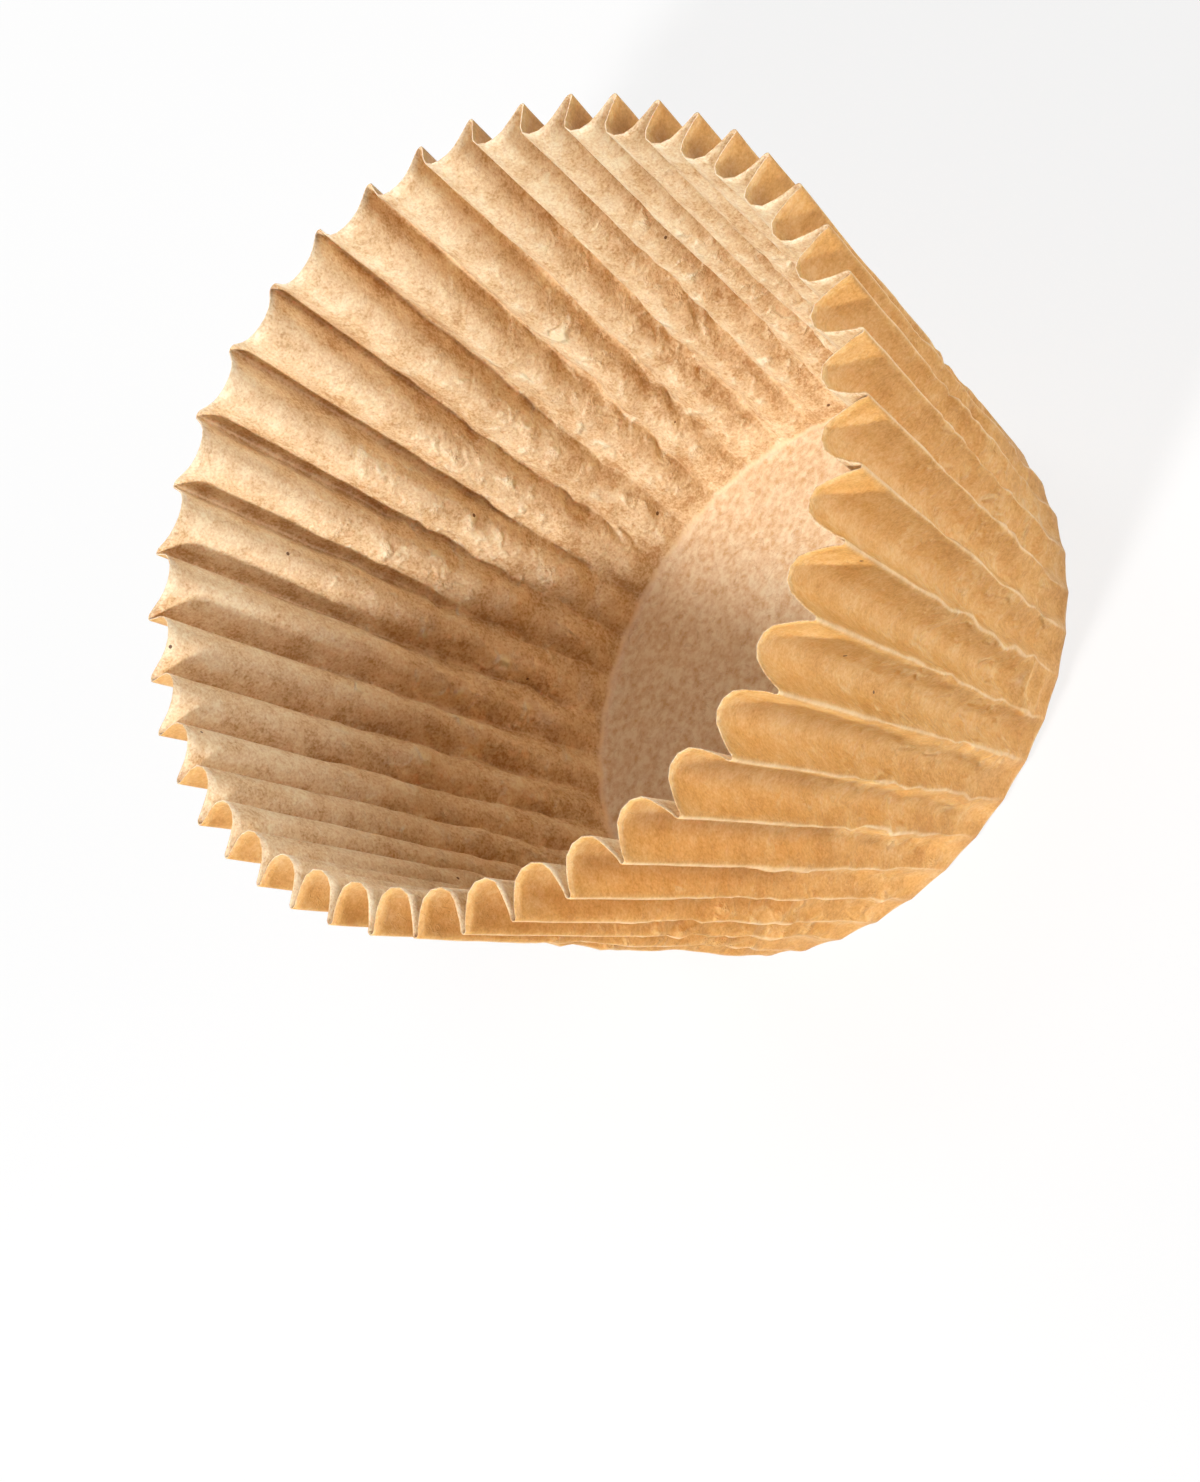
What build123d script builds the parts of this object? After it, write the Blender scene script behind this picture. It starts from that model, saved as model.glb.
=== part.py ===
# Fluted cupcake liner: one disc of greaseproof paper pressed into a cup, lying open and
# a little out of round. Millimetres and degrees; +Z up; the origin is the centre of the
# underside of the flat base, so the liner stands on Z = 0.
from build123d import *
import os
from math import cos, pi, radians, sin

# ---- driving dimensions ----
base_radius = 23.0       # flat base, to the crease where the wall turns up
wall_slant = 40.5        # paper from that crease to the rim, the same all round
paper = 0.1              # thickness of the sheet
flutes = 42              # flutes around the wall; the folds between them point outward
fold_radius = 0.35       # bend of the sheet at each outward fold, at the rim
flank_angle = 80.0       # how steeply a flute's two sides leave the fold, at the rim

# The wall leans outward by the flare and sideways by the twist. Both change slowly
# around the liner, because it has been handled: each pair is an amount and the
# direction in which it is greatest.
flare_mean = 16.4
flare_shift = (3.4, 157.0)       # once around: the mouth is pushed off centre
flare_oval = (2.2, 98.0)         # twice around: the mouth is oval
flare_corner = (0.5, 87.0)       # three times around
twist_mean = -4.8
twist_shift = (3.4, 87.0)
twist_oval = (2.2, 152.0)
twist_corner = (0.5, 64.0)

pitch = 360.0 / flutes
flute_paper = 2 * pi * (base_radius + wall_slant) / flutes   # paper in one flute at the rim


def around(mean, shift, oval, corner, angle):
    """The mean plus the three waves, each (amount, direction), at an angle around."""
    total = mean
    for turns, (amount, direction) in enumerate((shift, oval, corner), start=1):
        total += amount * cos(radians(turns * (angle - direction)))
    return total


def wall_direction(angle):
    """Unit vector up the wall, from the base crease to the rim, along a fold."""
    flare = around(flare_mean, flare_shift, flare_oval, flare_corner, angle)
    twist = around(twist_mean, twist_shift, twist_oval, twist_corner, angle)
    outward, sideways = sin(radians(flare)), sin(radians(twist))
    upward = (1 - outward**2 - sideways**2) ** 0.5
    radial = Vector(cos(radians(angle)), sin(radians(angle)), 0)
    tangent = Vector(-sin(radians(angle)), cos(radians(angle)), 0)
    return radial * outward + tangent * sideways + Vector(0, 0, upward)


def base_point(angle, radius, height):
    return Vector(radius * cos(radians(angle)), radius * sin(radians(angle)), height)


def flute_curve(start, end, inward, fold, crest_change):
    """One flute of the rim, from fold to fold.

    It is a half fold, a straight flank, a round crest and the same again mirrored, and
    its length is the paper's own: length = 2 R a + 2 flank and chord = 2 R sin(a) +
    2 flank cos(a), with a the flank angle and R the crest and fold radii together.
    """
    a = radians(flank_angle)
    chord = (end - start).length
    across = (end - start).normalized()
    both_radii = (chord - flute_paper * cos(a)) / (2 * (sin(a) - a * cos(a)))
    flank = flute_paper / 2 - both_radii * a
    crest = both_radii - fold_radius + crest_change

    half = [(fold * sin(t * a), fold * (1 - cos(t * a))) for t in (0, 0.25, 0.5, 0.75, 1)]
    x, y = half[-1]
    half += [(x + t * flank * cos(a), y + t * flank * sin(a)) for t in (0.33, 0.67, 1)]
    x, y = half[-1]
    for t in (0.75, 0.5, 0.25, 0):
        half.append((x + crest * (sin(a) - sin(t * a)), y + crest * (cos(t * a) - cos(a))))
    width = 2 * half[-1][0]
    fit = chord / width
    profile = half + [(width - x, y) for x, y in reversed(half[:-1])]
    points = [start + across * (x * fit) + inward * y for x, y in profile]
    along = [0]
    for before, after in zip(points, points[1:]):
        along.append(along[-1] + (after - before).length)
    return Edge.make_spline(points, parameters=[length / along[-1] for length in along])


def inward_normal(k):
    """Square to the chord between folds k and k + 1 and to the wall's own direction."""
    up = wall_direction((k + 0.5) * pitch)
    return up.cross(folds[k + 1] - folds[k]).normalized()


# The rim's folds, at the middle of the sheet.
folds = [base_point(k * pitch, base_radius, 0) + wall_direction(k * pitch) * wall_slant
         for k in range(flutes + 1)]
inward = [inward_normal(k) for k in range(flutes)]
at_fold = [(inward[k - 1] + inward[k % flutes]).normalized() for k in range(flutes + 1)]


def skin(side):
    """Wall faces, base arcs and rim curves of one skin: side is 1 outside, -1 inside."""
    radius = base_radius - (0 if side > 0 else paper)
    height = 0 if side > 0 else paper
    arcs, rims = [], []
    for k in range(flutes):
        ends = (k * pitch, (k + 0.5) * pitch, (k + 1) * pitch)
        arcs.append(ThreePointArc(*[base_point(angle, radius, height) for angle in ends]))
        offset = -side * paper / 2
        rims.append(flute_curve(folds[k] + at_fold[k] * offset,
                                folds[k + 1] + at_fold[k + 1] * offset,
                                inward[k], fold_radius + side * paper / 2,
                                -side * paper / 2))
    walls = [Face.make_surface_from_curves(arc.edge(), rim)
             for arc, rim in zip(arcs, rims)]
    base = Face(Wire([arc.edge() for arc in arcs]))
    return walls + [base], rims


outer_faces, outer_rims = skin(1)
inner_faces, inner_rims = skin(-1)
rim_edge = [Face.make_surface_from_curves(a, b) for a, b in zip(outer_rims, inner_rims)]

liner = Solid(Shell(outer_faces + inner_faces + rim_edge))
liner.label = "liner"

os.makedirs("parts", exist_ok=True)
export_step(liner, "parts/liner.step")

box = liner.bounding_box()
print(f"liner: {box.size.X:.1f} x {box.size.Y:.1f} x {box.size.Z:.1f} mm, "
      f"volume {liner.volume:.0f} mm3, valid {liner.is_valid}")
print(f"flat disc {2 * (base_radius + wall_slant):.0f} mm across, "
      f"{flute_paper:.2f} mm of paper in a flute at the rim")
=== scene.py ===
import math

import bpy
import numpy as np
from mathutils import Matrix, Vector


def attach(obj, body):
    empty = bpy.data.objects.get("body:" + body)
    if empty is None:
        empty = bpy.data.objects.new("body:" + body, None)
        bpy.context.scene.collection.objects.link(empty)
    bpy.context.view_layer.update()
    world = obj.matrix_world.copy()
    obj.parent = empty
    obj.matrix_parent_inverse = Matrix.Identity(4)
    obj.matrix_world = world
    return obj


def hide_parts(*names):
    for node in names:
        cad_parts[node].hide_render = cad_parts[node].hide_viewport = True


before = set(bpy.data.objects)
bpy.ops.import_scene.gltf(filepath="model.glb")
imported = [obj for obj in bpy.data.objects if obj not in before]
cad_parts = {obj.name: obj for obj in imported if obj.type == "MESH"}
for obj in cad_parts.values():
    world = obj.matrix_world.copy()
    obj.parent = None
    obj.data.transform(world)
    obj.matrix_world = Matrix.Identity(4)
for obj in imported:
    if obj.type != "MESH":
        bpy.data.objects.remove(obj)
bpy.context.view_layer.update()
mm = 0.001                      # lengths below are in millimetres until they reach a mesh

# The sheet: the part's own driving dimensions, then how it has been handled.
# A wave is (amount, direction in degrees where it is greatest); flare and twist are in
# degrees. A zone is three heights as parts of the wall: full strength from the first to
# the second, and gone by the third.
sheet = {
    "baseRadius": 23.0,
    "wallSlant": 40.5,
    "thickness": 0.1,
    "flutes": 42,
    "flare": (16.4, (3.4, 157.0), (2.2, 98.0), (0.5, 87.0)),
    "twist": (-4.8, (3.4, 87.0), (2.2, 152.0), (0.5, 64.0)),
    "foldRadius": (0.36, (0.08, 120.0)),    # bend of the sheet at an outward fold
    "foldArc": 1.2,                         # length of that bend, in fold radii
    "foldShare": (0.02, 0.09),              # least and most of a flute's paper in that bend
    "pinch": (0.20, (0.12, -80.0)),         # how much steeper the sheet is where a fold is pressed
    "pinchReach": 0.09,                     # how far that goes, as a part of a flute's paper
    "takeUp": 0.97,             # part of a flute's paper that its shape shows; the rest is crushed
    "steepest": 125,            # the most that a flute's steepness may be, in degrees
    "creaseReach": 0.9,         # how far the turn from base to wall spreads each way
    "crestHalf": (0.23, (0.06, 120.0)),     # half of the round crest, as a part of a flute's paper
    "crestUneven": 0.12,                    # how much crests differ in width
    "crestPlace": (0.475, (0.03, 120.0)),   # where along that paper the crest comes
    "lean": 0.05,               # how far a crest leans towards one of its folds
    "leanCells": (6, 3.7, 9),   # cells of lean up the wall, shift from flute to flute, rows
    "wander": 0.42,             # how far a fold strays sideways in the crushed lower wall
    "wanderZone": (0.12, 0.33, 0.78),
    "wanderKnots": 31,          # heights at which a fold may kink
    "dent": 0.15,               # soft dents over the wall
    "dentZone": (0.08, 0.45, 0.85),
    "dentKept": 0.25,           # part of the dents that is left near the rim
    "fineShare": 0.6,           # strength of the small dents and fine wrinkles beside the broad
    "wrinkle": 0.18,            # small crush wrinkles in the middle and lower wall
    "wrinkleZone": (0.1, 0.5, 0.8),
    "wrinklePatch": (0.3, 1.4),             # how much of the wall they cover, and how sharply
    "pucker": 0.10,             # unevenness of the flat base
    "puckerSize": (5.0, 2.2),   # its broad and its small bumps
    "puckerFlat": 3.0,          # it dies away over this distance from the crease
    "rimUneven": 0.12,          # the die-cut rim isn't perfectly even
    "seed": 4,
}
# Noises over the wall: cells around it, cells up it, rows of random values, and how far
# the cells slant sideways and upward. Two cells to a flute are broad, eight are fine.
wallNoises = {
    "broadDent": (84, 9, 11, 0, 0),
    "smallDent": (168, 19, 23, 0, 0),
    "wrinkle": (168, 20, 40, 11, 42),
    "fineWrinkle": (336, 38, 40, -17, 0),
    "patch": (84, 8, 9, 0, 0),
}
# The mesh: rows in the crease and up the wall, how much the wall's rows bunch at its
# foot, then rings and columns of the flat base, which has a quarter of the wall's columns.
rows = {"crease": 4, "wall": 64, "bunch": 0.35, "baseRings": 11, "baseColumns": 168}
# places across one flute, closest together at the fold; mirrored for its second half
halfFlute = (0.0, 0.015, 0.04, 0.08, 0.14, 0.22, 0.31, 0.405)

camera = {
    "aim": (-13.15, -2.18, 20.0),
    "azimuth": -89.8,
    "elevation": 43.35,
    "distance": 543.9,
    "roll": -60.1,
    "lens": 174.9,
    "sensor": 36.0,
    "clip": (0.01, 10.0),       # metres
}


# sRGB hex to linear RGBA: below the toe c / 12.92, above it ((c + 0.055) / 1.055) to the 2.4
def linear(hexColour):
    parts = [int(hexColour[i:i + 2], 16) / 255 for i in (1, 3, 5)]
    return (*[c / 12.92 if c <= 0.04045 else ((c + 0.055) / 1.055) ** 2.4 for c in parts], 1)


# a node with its settings; an input that is a socket is linked, any other is a value
def addNode(tree, kind, inputs=None, **settings):
    node = tree.nodes.new(kind)
    for name, value in settings.items():
        setattr(node, name, value)
    for key, value in (inputs or {}).items():
        if isinstance(value, bpy.types.NodeSocket):
            tree.links.new(value, node.inputs[key])
        else:
            node.inputs[key].default_value = value
    return node


# a vector over its own length
def unit(vectors):
    return vectors / np.maximum(np.linalg.norm(vectors, axis=-1, keepdims=True), 1e-12)


# straight rise from 0 at one value to 1 at another, held level outside them
def fade(values, zero, one):
    return np.clip((values - zero) / (one - zero), 0, 1)


# a rise from 0 to the zone's first height times a fall from its second to its third
def inZone(v, zone):
    return fade(v, 0, zone[0]) * fade(v, zone[2], zone[1])


# random values on a lattice, blended by 3a^2 - 2a^3 both ways, and wrapping both ways
def smoothNoise(across, along, size, rng):
    lattice = rng.uniform(-1, 1, size)
    i, j = np.floor(across).astype(int), np.floor(along).astype(int)
    a, b = across - i, along - j
    a, b = a * a * (3 - 2 * a), b * b * (3 - 2 * b)

    def at(di, dj):
        return lattice[(i + di) % size[0], (j + dj) % size[1]]

    return (1 - b) * ((1 - a) * at(0, 0) + a * at(1, 0)) + b * ((1 - a) * at(0, 1) + a * at(1, 1))


# a mean plus waves that go once, twice and three times around: amount times the cosine
# of turns times the angle from the wave's direction, with angles in radians
def around(terms, angle):
    total = np.full_like(angle, terms[0])
    for turns, (amount, direction) in enumerate(terms[1:], start=1):
        total = total + amount * np.cos(turns * (angle - math.radians(direction)))
    return total


# unit vector up the wall: the sine of the flare outward, the sine of the twist sideways,
# and what is left of the unit upward
def wallDirection(angle):
    outward = np.sin(np.radians(around(sheet["flare"], angle)))
    sideways = np.sin(np.radians(around(sheet["twist"], angle)))
    upward = np.sqrt(1 - outward ** 2 - sideways ** 2)
    c, s = np.cos(angle), np.sin(angle)
    return np.stack([c * outward - s * sideways, s * outward + c * sideways, upward], -1)


# how the sheet heads across a flute, from fold (0) to fold (1): up from 0 over the bend
# of the fold, 1 on the flank, a straight fall to -1 through the crest, and back to 0; a
# pressed fold adds a bump of e to the minus (distance / reach) squared
def headingShape(t, crest, crestHalf, bend, pinch):
    fromEnd = np.minimum(t, 1 - t)
    pressed = 1 + pinch * np.exp(-(fromEnd / sheet["pinchReach"]) ** 2)
    return np.clip((crest - t) / crestHalf, -1, 1) * fade(fromEnd, 0, bend) * pressed


# The middle of the sheet over the wall, one row of points for each height up the wall.
# Across a flute the sheet's angle to the chord between two folds is a steepness times
# the heading shape; its points are the running sums of the cosine and sine of that
# angle. The steepness is what makes the paper in the flute, 2 pi (base radius + height
# up the wall) / flutes, just span the chord.
def wallRows(heights, rng):
    flutes, slant = sheet["flutes"], sheet["wallSlant"]
    v = heights / slant
    index = np.arange(flutes)
    angle = 2 * np.pi * index / flutes
    middle = angle + np.pi / flutes
    level = 0 * angle

    # folds stray sideways in the lower wall, with kinks where the paper was crushed: a
    # cube makes most kinks small and a few large
    knots = np.linspace(0, 1, sheet["wanderKnots"])
    kinks = rng.uniform(-1, 1, (flutes, len(knots))) ** 3
    kinks = kinks + 0.3 * rng.uniform(-1, 1, (flutes, len(knots)))
    stray = np.stack([np.interp(v, knots, s) for s in kinks], 1)
    stray = stray * (inZone(v, sheet["wanderZone"]) * sheet["wander"])[:, None]

    uneven = sheet["rimUneven"] / slant * rng.uniform(-1, 1, flutes)
    start = sheet["baseRadius"] * np.stack([np.cos(angle), np.sin(angle), level], -1)
    tangent = np.stack([-np.sin(angle), np.cos(angle), level], -1)
    upWall = heights[:, None] * (1 + uneven * v[:, None])
    folds = start + upWall[..., None] * wallDirection(angle) + stray[..., None] * tangent
    folds = folds + np.array([0, 0, sheet["thickness"] / 2])

    chordVector = np.roll(folds, -1, axis=1) - folds
    chord = np.linalg.norm(chordVector, axis=-1)
    alongChord = unit(chordVector)
    inward = unit(np.cross(wallDirection(middle), alongChord))

    paper = 2 * np.pi * (sheet["baseRadius"] + heights) / flutes
    leastPaper = chord.min(axis=1) * 1.0005     # a flute is never shorter than its chord
    paper = np.maximum(paper * (1 - (1 - sheet["takeUp"]) * v), leastPaper)
    bend = sheet["foldArc"] * around(sheet["foldRadius"], middle) / paper[:, None]
    bend = np.clip(bend, *sheet["foldShare"])
    cells, shift, leanRows = sheet["leanCells"]
    crest = around(sheet["crestPlace"], middle) + sheet["lean"] * smoothNoise(
        np.broadcast_to(index, stray.shape) * 1.0, v[:, None] * cells + index * shift,
        (flutes, leanRows), rng)
    crestHalf = around(sheet["crestHalf"], middle)
    crestHalf = crestHalf * (1 + sheet["crestUneven"] * rng.uniform(-1, 1, flutes))

    # the steepness that each flute needs, looked up from an even flute's spans
    t = np.linspace(0, 1, 201)
    evenBend = 0.06
    even = headingShape(t, 0.5, sheet["crestHalf"][0], evenBend, sheet["pinch"][0])
    steepness = np.radians(np.arange(sheet["steepest"] + 1.0))
    span = np.cos(steepness[:, None] * even).mean(axis=1)
    need = np.interp(-np.clip(chord / paper[:, None], 0, 1), -span, steepness)
    heading = need[..., None] * headingShape(
        t, crest[..., None], crestHalf[:, None], bend[..., None],
        around(sheet["pinch"], middle)[:, None])

    # running sum by the trapezium rule
    def gathered(values):
        total = np.cumsum((values[..., 1:] + values[..., :-1]) / 2 * (t[1] - t[0]), axis=-1)
        return np.concatenate([np.zeros(values.shape[:-1] + (1,)), total], -1)

    # brought back onto the chord at its far end, and made exactly as long as it
    x, y = gathered(np.cos(heading)), gathered(np.sin(heading))
    y = (y - t * y[..., -1:]) * paper[:, None, None]
    x = x / x[..., -1:] * chord[..., None]

    places = np.array(halfFlute + (0.5,) + tuple(1 - p for p in halfFlute[:0:-1]))
    pick = np.rint(places * (len(t) - 1)).astype(int)
    x, y = x[..., pick], y[..., pick]
    points = (folds[:, :, None] + x[..., None] * alongChord[:, :, None]
              + y[..., None] * inward[:, :, None])
    fromFold = np.minimum(t[pick], 1 - t[pick]) * paper[:, None, None] + 0 * y
    turn = ((index[:, None] + t[pick]) / flutes).ravel()
    grid = (len(heights), flutes * len(pick))
    return points.reshape(*grid, 3), fromFold.reshape(grid), turn


# triangles that join closed ring a to closed ring b, where a has as many points as b or a
# whole multiple of them: a fan to each point of b, then one triangle to the next point
def bridge(a, b):
    ratio = len(a) // len(b)
    nextA, nextB = np.roll(a, -1), np.roll(b, -1)
    if ratio == 1:
        return np.concatenate([np.stack([a, nextA, nextB], 1), np.stack([a, nextB, b], 1)])
    fan = np.stack([a, nextA, np.repeat(b, ratio)], 1)
    ends = np.arange(ratio - 1, len(a), ratio)
    return np.concatenate([fan, np.stack([nextA[ends], nextB, b], 1)])


# at each point, the sum of its triangles' cross products, made a unit
def vertexNormals(points, faces):
    corner = points[faces]
    faceNormal = np.cross(corner[:, 1] - corner[:, 0], corner[:, 2] - corner[:, 0])
    total = np.zeros_like(points)
    for i in range(3):
        for axis in range(3):
            total[:, axis] += np.bincount(faces[:, i], faceNormal[:, axis], len(points))
    return unit(total)


# dents and wrinkles as a height square to the sheet. Soft dents are two noises added.
# A wrinkle is sharp, 1 - 2 |noise|, with finer noise on it, and lies in patches.
def wallDents(turn, heights, rng):
    turn = np.broadcast_to(turn, (len(heights), len(turn)))
    v = heights[:, None] / sheet["wallSlant"]

    def noise(name):
        cells, cellsUp, latticeRows, slant, slantUp = wallNoises[name]
        return smoothNoise(turn * cells + v * slant, v * cellsUp + turn * slantUp,
                           (cells, latticeRows), rng)

    grown, fading, gone = sheet["dentZone"]
    dents = noise("broadDent") + sheet["fineShare"] * noise("smallDent")
    dents *= sheet["dent"] * fade(v, 0, grown)
    dents *= 1 - (1 - sheet["dentKept"]) * fade(v, fading, gone)
    ridge = 1 - 2 * np.abs(noise("wrinkle"))
    ridge = ridge + sheet["fineShare"] * noise("fineWrinkle")
    cover, sharpness = sheet["wrinklePatch"]
    patch = np.clip(cover + sharpness * noise("patch"), 0, 1)
    return dents + sheet["wrinkle"] * ridge * patch * inZone(v, sheet["wrinkleZone"])


# The flat base inside the crease: rings that shrink to its centre, radius times cosine
# and sine. It puckers by the sum of two noises, each between -1 and 1 before the second
# is halved, plus 1.5, so that the paper doesn't go under the plane it stands on.
def baseRows(rng):
    few, ringCount = rows["baseColumns"], rows["baseRings"]
    flatRadius = sheet["baseRadius"] - sheet["creaseReach"]
    angle = 2 * np.pi * np.arange(few) / few
    radii = flatRadius * (1 - np.arange(1, ringCount + 1) / (ringCount + 1.0))[:, None]
    x, y = radii * np.cos(angle), radii * np.sin(angle)

    # from the middle of a lattice that is bigger than the base
    cells, middle = 90, 40

    def bumps(size):
        return smoothNoise(x / size + middle, y / size + middle, (cells, cells), rng)

    broad, small = sheet["puckerSize"]
    uneven = bumps(broad) + 0.5 * bumps(small)
    rise = sheet["pucker"] * (uneven + 1.5) * fade(flatRadius - radii, 0, sheet["puckerFlat"])
    return np.stack([x, y, rise + sheet["thickness"] / 2], -1)


# The whole sheet: base, turn and wall as the sheet's middle, moved along its normals by
# the dents; then two skins half the thickness to each side, joined round the rim.
def makeLiner():
    rng = np.random.default_rng(sheet["seed"])
    radius, reach = sheet["baseRadius"], sheet["creaseReach"]
    # rows are closer together near the base, where the flutes begin
    ease, bunch = np.linspace(0, 1, rows["wall"]), rows["bunch"]
    heights = reach + (sheet["wallSlant"] - reach) * (bunch * ease ** 2 + (1 - bunch) * ease)
    wall, fromFold, turn = wallRows(heights, rng)
    columns = len(turn)

    # the turn from base to wall: a parabola from the flat base, pulled to the crease
    angle = 2 * np.pi * turn
    circle = np.stack([np.cos(angle), np.sin(angle), 0 * angle], -1)
    lift = np.array([0, 0, sheet["thickness"] / 2])
    q = (np.arange(rows["crease"]) / rows["crease"])[:, None, None]
    inner, corner = circle * (radius - reach) + lift, circle * radius + lift
    crease = (1 - q) ** 2 * inner + 2 * q * (1 - q) * corner + q ** 2 * wall[0]

    dents = wallDents(turn, heights, rng)
    base = baseRows(rng)
    centre = np.array([[0, 0, base[-1, :, 2].mean()]])
    points = np.concatenate([crease.reshape(-1, 3), wall.reshape(-1, 3),
                             base.reshape(-1, 3), centre])

    # for the material: how far up the wall and how far from a fold each point is; the
    # flat base counts as below the wall and far from any fold
    belowWall, farFromFold = -3.0, 9.0
    across = np.ones(columns)
    plain = np.ones(base.shape[0] * base.shape[1] + 1)
    creaseHeights = reach * (2 * q[:, 0] - 1)
    upWall = np.concatenate([(creaseHeights * across).ravel(),
                             (heights[:, None] * across).ravel(), belowWall * plain])
    fold = np.concatenate([np.tile(fromFold[0], rows["crease"]), fromFold.ravel(),
                           farFromFold * plain])
    dent = np.concatenate([np.zeros(crease.shape[0] * columns), dents.ravel(), 0 * plain])

    rings = [np.arange(columns) + columns * r for r in range(len(crease) + len(wall))]
    first, few = columns * len(rings), rows["baseColumns"]
    baseRings = [first + np.arange(few) + few * r for r in range(rows["baseRings"])]
    toCentre = np.full(few, len(points) - 1)
    inward = [rings[0]] + baseRings
    faces = np.concatenate(
        [bridge(upper, lower) for lower, upper in zip(rings, rings[1:])]
        + [bridge(outer, inner) for outer, inner in zip(inward, inward[1:])]
        + [np.stack([baseRings[-1], np.roll(baseRings[-1], -1), toCentre], 1)])

    points = points + vertexNormals(points, faces) * dent[:, None]
    normal = vertexNormals(points, faces)
    halfSheet = sheet["thickness"] / 2
    insideSkin, outsideSkin = points + normal * halfSheet, points - normal * halfSheet
    outsideSkin[:, 2] = np.maximum(outsideSkin[:, 2], 0)
    count, rim = len(points), rings[-1]
    allFaces = np.concatenate([faces, faces[:, ::-1] + count, bridge(rim + count, rim)])
    allPoints = np.concatenate([insideSkin, outsideSkin]) * mm

    mesh = bpy.data.meshes.new("liner_paper")
    mesh.from_pydata(allPoints.tolist(), [], allFaces.tolist())
    mesh.polygons.foreach_set("use_smooth", np.ones(len(allFaces), bool))
    for name, values in (("upWall", np.tile(upWall, 2)), ("fromFold", np.tile(fold, 2)),
                         ("outside", np.repeat([0.0, 1.0], count))):
        layer = mesh.attributes.new(name, "FLOAT", "POINT")
        layer.data.foreach_set("value", values.astype(np.float32))
    mesh.validate()
    obj = bpy.data.objects.new("liner_paper", mesh)
    bpy.context.scene.collection.objects.link(obj)
    print("liner:", len(allFaces), "triangles")
    return obj


# Unbleached greaseproof kraft paper: wood fibres pressed thin and beaten until grease
# can't pass, so it is a tan sheet with a satin face that lets light through, cloudy
# where the pulp lies thicker and paler where a fold has cracked the sheet.
# Sizes and distances are in mm. Single fibres are about 0.03 mm wide, too fine to show,
# so the fuzz and grain are drawn as coarse as bundles of them.
paperLook = {
    "outerFace": ("#CC954C", "#DEAB64", "#EAC286"),     # thick pulp, middling, thin pulp; the painted crest light also reaches it
    # painted light: the same paper as the outer face, written paler on the inner face to stand in
    # for the sheen and light inside the cup
    "innerFacePaintedPaler": ("#C89A68", "#E8CBA0", "#FBEACA"),
    "toneStops": (0.39, 0.5, 0.63),     # where those three colours come on the tone
    # painted light: the base is written paler than the wall to stand in for light coming through
    # it from below
    "base": "#F9E4C6",
    "baseFleck": "#DEB686",
    "fibre": "#B98B54",
    "crack": "#F6DDB4",
    "speck": "#7A5230",
    "noises": {                         # size, detail, roughness, distortion
        "cloud": (2.6, 5.0, 0.72, 0.0),
        "fuzz": (0.42, 3.0, 0.7, 0.0),
        "grain": (0.2, 1.0, 0.5, 0.0),
        "mottle": (0.7, 4.0, 0.65, 0.0),
        "hairs": (2.2, 2.0, 0.5, 1.5),
        "crinkle": (1.3, 1.5, 0.4, 0.6),
    },
    "cloudShare": 0.5,                  # what each of the three adds to the tone
    "fuzzShare": 0.25,
    "grainShare": 0.25,
    "mottleRange": (0.32, 0.62),        # noise values from all fleck to none
    "crinkleTop": (34.0, 22.0),         # up the wall: none above the first, all below the second
    "crinkleFoot": (0.0, 4.0),
    "crinklePatch": (0.42, 0.60, 0.15, 0.9),    # pulp clouds from, to; strength from, to
    # painted light and shade on the crinkles: how much their height lightens the tone
    "crinklePaintedLight": 0.16,
    "crinkleBump": 0.7,
    "toothBump": 0.08,
    "toothStrength": 0.5,
    "paintedFoldShadeCrestLight": (0.2, 3.2, -0.035, 0.045),        # from a fold, to a crest; tone from, to
    "fibreWidth": 0.010,                # as a step of the hairs' noise
    "fibreStrength": 0.3,
    "speckSize": 0.16,
    "speckGap": 5.0,
    "crackLine": (0.04, 0.16, 0.9),     # full to here from a fold, gone by here, strength
    "crackStart": (0.5, 3.0),           # it begins this far up the wall, and is full here
    "creaseLine": (0.1, 0.45, 0.6),     # the same three round the edge of the base
    "baseEdge": (0.2, -0.6),            # where the wall's tone gives way to the base's
    "roughness": 0.5,
    "ior": 1.5,                         # cellulose
    "seeThrough": 1.0,
    "seeThroughDepth": 0.06,            # about the thickness of the sheet
    "seeThroughTint": (1.0, 0.97, 0.9),
}


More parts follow.
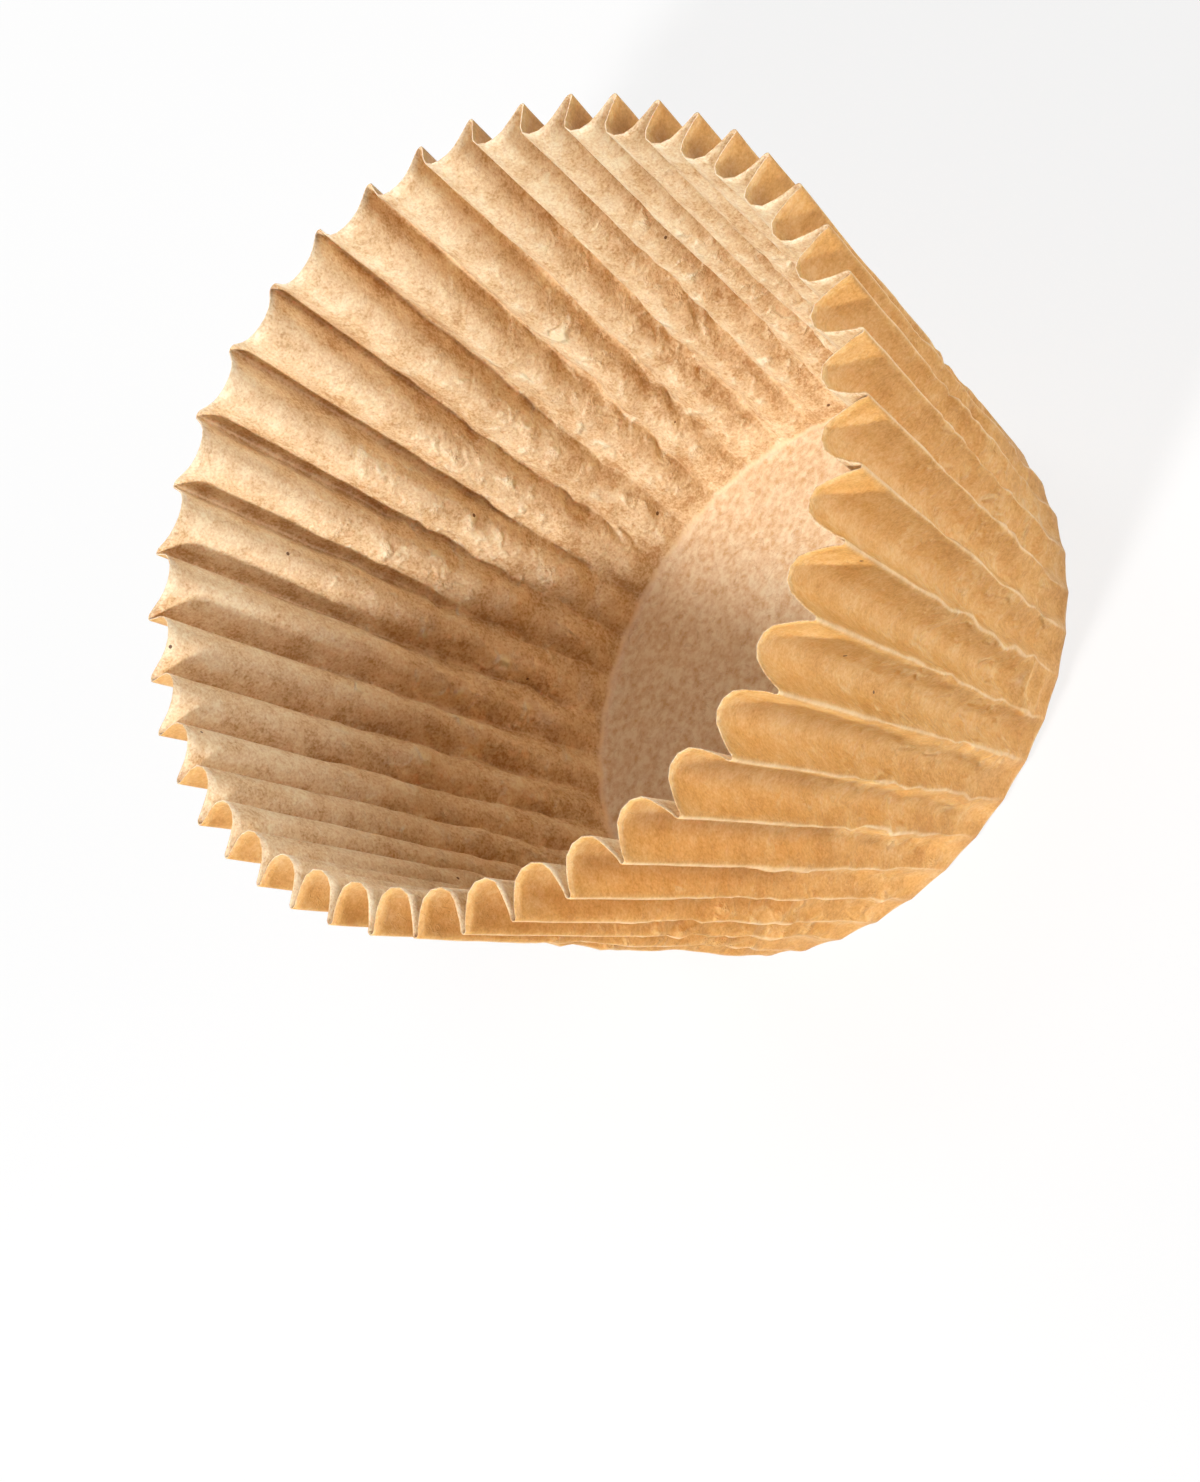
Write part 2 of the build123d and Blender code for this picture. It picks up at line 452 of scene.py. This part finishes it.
def makePaper():
    look = paperLook
    material = bpy.data.materials.new("unbleached_greaseproof_paper")
    material.use_nodes = True
    tree = material.node_tree
    tree.nodes.clear()
    place = addNode(tree, "ShaderNodeTexCoord").outputs["Object"]
    upWall = addNode(tree, "ShaderNodeAttribute", attribute_name="upWall").outputs["Fac"]
    fromFold = addNode(tree, "ShaderNodeAttribute", attribute_name="fromFold").outputs["Fac"]
    outside = addNode(tree, "ShaderNodeAttribute", attribute_name="outside").outputs["Fac"]

    noises = {}
    for name, (size, detail, roughness, distortion) in look["noises"].items():
        noises[name] = addNode(tree, "ShaderNodeTexNoise", {
            "Vector": place, "Scale": 1 / (size * mm), "Detail": detail,
            "Roughness": roughness, "Distortion": distortion})
    noises["crinkle"].noise_type = "RIDGED_MULTIFRACTAL"
    noises = {name: node.outputs["Fac"] for name, node in noises.items()}

    # the tone: pulp clouds, fibre fuzz and fine grain
    tone = addNode(tree, "ShaderNodeMath", {
        0: noises["cloud"], 1: look["cloudShare"]}, operation="MULTIPLY")
    for name, share in (("fuzz", look["fuzzShare"]), ("grain", look["grainShare"])):
        tone = addNode(tree, "ShaderNodeMath", {
            0: noises[name], 1: share, 2: tone.outputs[0]}, operation="MULTIPLY_ADD")

    # crinkles left by squashing, in patches over the lower and middle wall; their height is also
    # painted into the tone as painted light and shade, ridges paler than their hollows
    crushed = noises["crinkle"]
    for value, zone in ((upWall, look["crinkleTop"] + (0.0, 1.0)),
                        (upWall, look["crinkleFoot"] + (0.0, 1.0)),
                        (noises["cloud"], look["crinklePatch"])):
        where = addNode(tree, "ShaderNodeMapRange", {
            "Value": value, "From Min": zone[0], "From Max": zone[1],
            "To Min": zone[2], "To Max": zone[3]})
        crushed = addNode(tree, "ShaderNodeMath", {
            0: crushed, 1: where.outputs[0]}, operation="MULTIPLY").outputs[0]
    tone = addNode(tree, "ShaderNodeMath", {
        0: crushed, 1: look["crinklePaintedLight"], 2: tone.outputs[0]}, operation="MULTIPLY_ADD")

    # painted shade and light: the tone is painted darker beside the folds, where shade falls in
    # the grooves, and paler on the rounded crests
    foldSide, crestSide, darker, paler = look["paintedFoldShadeCrestLight"]
    paintedFoldShadeCrestLight = addNode(tree, "ShaderNodeMapRange", {
        "Value": fromFold, "From Min": foldSide, "From Max": crestSide,
        "To Min": darker, "To Max": paler})
    tone = addNode(tree, "ShaderNodeMath", {
        0: tone.outputs[0], 1: paintedFoldShadeCrestLight.outputs[0]}, operation="ADD")

    # three colours along the tone, for the outer and the inner face; the inner face's colours are
    # painted paler, painted light on the same paper
    thick, middling, thin = look["toneStops"]
    faces = []
    for colours in (look["outerFace"], look["innerFacePaintedPaler"]):
        ramp = addNode(tree, "ShaderNodeValToRGB", {"Fac": tone.outputs[0]})
        stops = ramp.color_ramp.elements
        stops[0].position, stops[0].color = thick, linear(colours[0])
        stops[1].position, stops[1].color = thin, linear(colours[2])
        stops.new(middling).color = linear(colours[1])
        faces.append(ramp.outputs["Color"])
    outerFace, innerFacePaintedPaler = faces
    wall = addNode(tree, "ShaderNodeMix", {0: outside, 6: innerFacePaintedPaler, 7: outerFace},
                   data_type="RGBA")

    # the flat base is painted paler than the wall, painted light standing in for light coming
    # through the paper from below; the brown flecks are the paper's own mottle
    fleck = addNode(tree, "ShaderNodeMapRange", {
        "Value": noises["mottle"],
        "From Min": look["mottleRange"][0], "From Max": look["mottleRange"][1]})
    base = addNode(tree, "ShaderNodeMix", {
        0: fleck.outputs[0], 6: linear(look["baseFleck"]), 7: linear(look["base"])},
        data_type="RGBA")
    onBase = addNode(tree, "ShaderNodeMapRange", {
        "Value": upWall, "From Min": look["baseEdge"][0], "From Max": look["baseEdge"][1]})
    paper = addNode(tree, "ShaderNodeMix", {
        0: onBase.outputs[0], 6: wall.outputs[2], 7: base.outputs[2]}, data_type="RGBA")

    # fibres: the thin level lines where a noise passes its middle value look like hairs
    off = addNode(tree, "ShaderNodeMath", {0: noises["hairs"], 1: 0.5}, operation="SUBTRACT")
    near = addNode(tree, "ShaderNodeMath", {0: off.outputs[0]}, operation="ABSOLUTE")
    hair = addNode(tree, "ShaderNodeMapRange", {
        "Value": near.outputs[0], "From Min": 0.0, "From Max": look["fibreWidth"],
        "To Min": look["fibreStrength"], "To Max": 0.0})
    fibred = addNode(tree, "ShaderNodeMix", {
        0: hair.outputs[0], 6: paper.outputs[2], 7: linear(look["fibre"])}, data_type="RGBA")

    # specks of bark: one dot in each cell of space, and the few that the sheet meets show
    cells = addNode(tree, "ShaderNodeTexVoronoi", {
        "Vector": place, "Scale": 1 / (look["speckGap"] * mm)})
    dot = addNode(tree, "ShaderNodeMath", {
        0: cells.outputs["Distance"], 1: look["speckSize"] / look["speckGap"]},
        operation="LESS_THAN")
    specked = addNode(tree, "ShaderNodeMix", {
        0: dot.outputs[0], 6: fibred.outputs[2], 7: linear(look["speck"])}, data_type="RGBA")

    # the cracked line along each outward fold, broken up by the pulp
    full, gone, strength = look["crackLine"]
    crackWidth = addNode(tree, "ShaderNodeMapRange", {
        "Value": fromFold, "From Min": full, "From Max": gone, "To Min": strength, "To Max": 0.0})
    onWall = addNode(tree, "ShaderNodeMapRange", {
        "Value": upWall, "From Min": look["crackStart"][0], "From Max": look["crackStart"][1]})
    crack = addNode(tree, "ShaderNodeMath", {
        0: crackWidth.outputs[0], 1: onWall.outputs[0]}, operation="MULTIPLY")
    crack = addNode(tree, "ShaderNodeMath", {
        0: crack.outputs[0], 1: noises["cloud"]}, operation="MULTIPLY")
    # and the worn line round the edge of the base
    full, gone, strength = look["creaseLine"]
    fromEdge = addNode(tree, "ShaderNodeMath", {0: upWall}, operation="ABSOLUTE")
    edge = addNode(tree, "ShaderNodeMapRange", {
        "Value": fromEdge.outputs[0], "From Min": full, "From Max": gone,
        "To Min": strength, "To Max": 0.0})
    worn = addNode(tree, "ShaderNodeMath", {
        0: crack.outputs[0], 1: edge.outputs[0]}, operation="MAXIMUM")
    colour = addNode(tree, "ShaderNodeMix", {
        0: worn.outputs[0], 6: specked.outputs[2], 7: linear(look["crack"])}, data_type="RGBA")

    # the relief: tooth from fuzz and fibres, then the crinkles
    height = addNode(tree, "ShaderNodeMath", {
        0: noises["fuzz"], 1: hair.outputs[0]}, operation="ADD")
    tooth = addNode(tree, "ShaderNodeBump", {
        "Strength": look["toothStrength"], "Distance": look["toothBump"] * mm,
        "Height": height.outputs[0]})
    bump = addNode(tree, "ShaderNodeBump", {
        "Strength": 1.0, "Distance": look["crinkleBump"] * mm, "Height": crushed,
        "Normal": tooth.outputs[0]})
    shader = addNode(tree, "ShaderNodeBsdfPrincipled", {
        "Base Color": colour.outputs[2], "Roughness": look["roughness"], "IOR": look["ior"],
        "Normal": bump.outputs[0], "Subsurface Weight": look["seeThrough"],
        "Subsurface Scale": look["seeThroughDepth"] * mm,
        "Subsurface Radius": look["seeThroughTint"]})
    addNode(tree, "ShaderNodeOutputMaterial", {"Surface": shader.outputs[0]})
    return material


# 1 for the rays that show the background itself: the camera's, and those from a mirror or glass
def seenRays(tree):
    path = addNode(tree, "ShaderNodeLightPath")
    seen = path.outputs["Is Camera Ray"]
    for kind in ("Is Glossy Ray", "Is Transmission Ray"):
        seen = addNode(tree, "ShaderNodeMath", {0: seen, 1: path.outputs[kind]},
                       operation="MAXIMUM").outputs[0]
    return seen


# A white sweep: the camera sees it nearly white, and everything else sees plain card.
floorLook = {"card": "#F2F2F2", "size": 3000.0, "whiteShare": 0.82}


# one square, level with the ground that the liner stands on
def makeFloor():
    half = floorLook["size"] / 2 * mm
    mesh = bpy.data.meshes.new("floor")
    mesh.from_pydata([(-half, -half, 0), (half, -half, 0), (half, half, 0), (-half, half, 0)],
                     [], [(0, 1, 2, 3)])
    floor = bpy.data.objects.new("floor", mesh)
    bpy.context.scene.collection.objects.link(floor)
    material = bpy.data.materials.new("white_card")
    material.use_nodes = True
    tree = material.node_tree
    tree.nodes.clear()
    card = addNode(tree, "ShaderNodeBsdfDiffuse", {"Color": linear(floorLook["card"])})
    white = addNode(tree, "ShaderNodeEmission", {"Color": (1, 1, 1, 1), "Strength": 1.0})
    share = addNode(tree, "ShaderNodeMath", {0: seenRays(tree), 1: floorLook["whiteShare"]},
                    operation="MULTIPLY")
    mixed = addNode(tree, "ShaderNodeMixShader", {
        0: share.outputs[0], 1: card.outputs[0], 2: white.outputs[0]})
    addNode(tree, "ShaderNodeOutputMaterial", {"Surface": mixed.outputs[0]})
    mesh.materials.append(material)


# Soft studio light. A softbox is (azimuth, elevation, distance, width, watts), and all of
# them face a point halfway up the cup; the small key shines in over the rim at -X.
studio = {
    "softboxes": {
        "key_softbox": (207, 44.0, 700, 75, 4.8),
        "top_softbox": (20, 75, 700, 250, 0.55),
        "front_softbox": (-64, 12, 900, 350, 3.55),
        "side_softbox": (0, 12, 900, 400, 1.0),
        "back_softbox": (82, 12, 700, 300, 3.4),
    },
    "facing": (0.0, 0.0, 20.0),
    "worldStrength": 0.04,
}


# unit vector towards an azimuth and an elevation in degrees
def direction(azimuth, elevation):
    a, e = math.radians(azimuth), math.radians(elevation)
    return Vector((math.cos(e) * math.cos(a), math.cos(e) * math.sin(a), math.sin(e)))


# each lamp stands off from that point by its direction times its distance
def makeLights():
    for name, (azimuth, elevation, distance, width, watts) in studio["softboxes"].items():
        data = bpy.data.lights.new(name, "AREA")
        data.shape, data.size, data.energy = "SQUARE", width * mm, watts
        lamp = bpy.data.objects.new(name, data)
        away = direction(azimuth, elevation)
        lamp.location = away * distance * mm + Vector(studio["facing"]) * mm
        lamp.rotation_euler = away.to_track_quat("Z", "Y").to_euler()
        bpy.context.scene.collection.objects.link(lamp)
    world = bpy.data.worlds.new("studio")
    world.use_nodes = True
    tree = world.node_tree
    tree.nodes.clear()
    strength = addNode(tree, "ShaderNodeMapRange", {
        "Value": seenRays(tree), "To Min": studio["worldStrength"], "To Max": 1.0})
    glow = addNode(tree, "ShaderNodeBackground", {
        "Color": (1, 1, 1, 1), "Strength": strength.outputs[0]})
    addNode(tree, "ShaderNodeOutputWorld", {"Surface": glow.outputs[0]})
    bpy.context.scene.world = world


# the camera looks back along the direction it stands in, turned by its roll
def makeCamera():
    data = bpy.data.cameras.new("camera")
    data.lens, data.sensor_width = camera["lens"], camera["sensor"]
    data.clip_start, data.clip_end = camera["clip"]
    eye = bpy.data.objects.new("camera", data)
    away = direction(camera["azimuth"], camera["elevation"])
    level = away.to_track_quat("Z", "Y").to_matrix()
    turned = level @ Matrix.Rotation(math.radians(camera["roll"]), 3, "Z")
    place = (Vector(camera["aim"]) + away * camera["distance"]) * mm
    eye.matrix_world = Matrix.Translation(place) @ turned.to_4x4()
    bpy.context.scene.collection.objects.link(eye)
    bpy.context.scene.camera = eye


makeCamera()
print("camera placed")
liner = makeLiner()
liner.data.materials.append(makePaper())
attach(liner, "root")
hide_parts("liner")
print("liner made")
makeFloor()
makeLights()
bpy.context.scene.view_settings.view_transform = "Standard"
print("floor and lights made")
